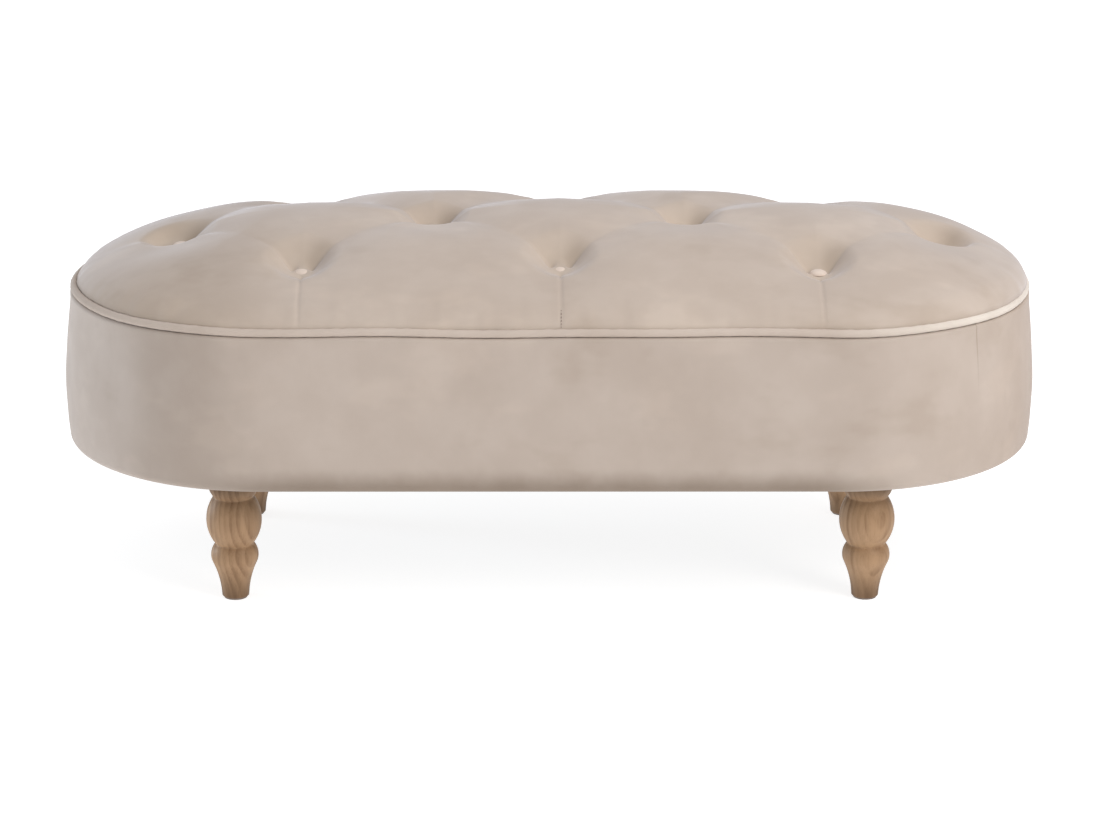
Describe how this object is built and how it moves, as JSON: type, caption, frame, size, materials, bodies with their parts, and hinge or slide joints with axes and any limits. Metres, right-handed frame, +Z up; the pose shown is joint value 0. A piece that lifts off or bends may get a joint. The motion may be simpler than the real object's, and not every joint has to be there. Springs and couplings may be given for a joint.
{
  "type": "upholstered footstool",
  "caption": "Oval upholstered footstool with a deep buttoned crowned cushion, piped edge, plain padded border and turned wooden legs.",
  "frame": {"origin": "on the floor under the middle of the stool", "axes": "+X along the long side, +Z up, front towards -Y"},
  "size_m": [1.1, 0.46, 0.416],
  "materials": {
    "velvet": "short pile velvet, taupe beige",
    "piping_velvet": "short pile velvet over a cord",
    "button_velvet": "short pile velvet over a button shell",
    "turned_wood": "turned light brown wood, matt lacquer",
    "plywood": "raw plywood",
    "frame_timber": "raw softwood",
    "foam": "polyurethane foam",
    "cotton_cord": "twisted cotton",
    "dust_cloth": "black spun bonded cloth",
    "washer_plastic": "moulded plastic",
    "zinc_steel": "zinc plated steel",
    "glide_plastic": "moulded plastic glide"
  },
  "bodies": {
    "root": {"base_board": "plywood", "button_centre_1": "button_velvet", "button_centre_2": "button_velvet", "button_centre_3": "button_velvet", "button_centre_4": "button_velvet", "button_front_left": "button_velvet", "button_front_middle": "button_velvet", "button_front_right": "button_velvet", "button_rear_left": "button_velvet", "button_rear_middle": "button_velvet", "button_rear_right": "button_velvet", "button_twines": "cotton_cord", "dust_cover": "dust_cloth", "foot_pads": "glide_plastic", "front_rail": "frame_timber", "hanger_bolts": "zinc_steel", "left_cross_rail": "frame_timber", "left_end_post": "frame_timber", "left_front_post": "frame_timber", "left_rear_post": "frame_timber", "leg_front_left": "turned_wood", "leg_front_right": "turned_wood", "leg_rear_left": "turned_wood", "leg_rear_right": "turned_wood", "piping_cord": "cotton_cord", "piping_cover": "piping_velvet", "rear_rail": "frame_timber", "right_cross_rail": "frame_timber", "right_end_post": "frame_timber", "right_front_post": "frame_timber", "right_rear_post": "frame_timber", "seat_cover": "velvet", "seat_deck": "plywood", "seat_foam": "foam", "side_cover": "velvet", "side_padding": "foam", "side_wrap": "plywood", "tee_nuts": "zinc_steel", "twine_washers": "washer_plastic"}
  },
  "joints": []
}
